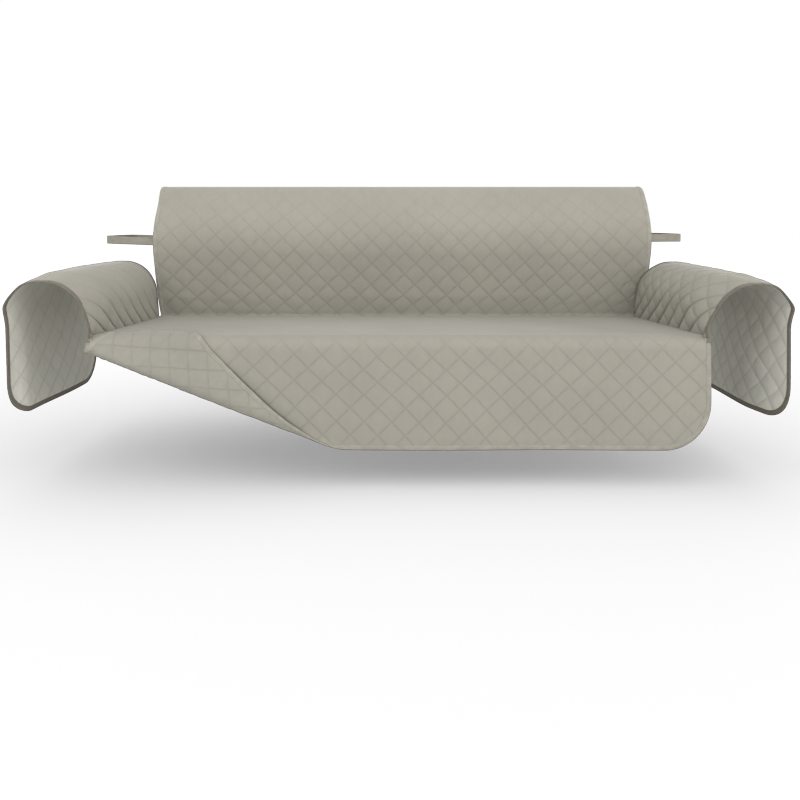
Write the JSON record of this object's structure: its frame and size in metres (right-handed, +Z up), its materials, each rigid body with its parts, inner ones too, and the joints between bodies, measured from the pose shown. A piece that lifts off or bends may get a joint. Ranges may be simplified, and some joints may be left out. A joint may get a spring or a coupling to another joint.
{
  "type": "sofa slipcover",
  "caption": "Quilted sofa cover in its worn shape: a long panel over back, seat and front with one corner folded back, panels over the arms, bound edges and elastic side straps.",
  "frame": {"origin": "on the middle of the underside of the cover's top, where the top of the sofa's back holds it", "axes": "+X along the sofa to its right arm as seen from the front, +Y to its rear, +Z up"},
  "size_m": [2.178, 0.8462, 0.7599],
  "materials": {
    "quilted_microfibre": "brushed matt quilted cloth, the same on its face and its reverse",
    "binding_tape": "matt woven tape",
    "elastic_band": "ribbed woven elastic"
  },
  "bodies": {
    "root": {"main_panel": "quilted_microfibre", "arm_panel_left": "quilted_microfibre", "arm_panel_right": "quilted_microfibre", "binding_front": "binding_tape", "binding_back": "binding_tape", "binding_arm_left": "binding_tape", "binding_arm_right": "binding_tape", "strap_left": "elastic_band", "strap_right": "elastic_band"}
  },
  "joints": []
}
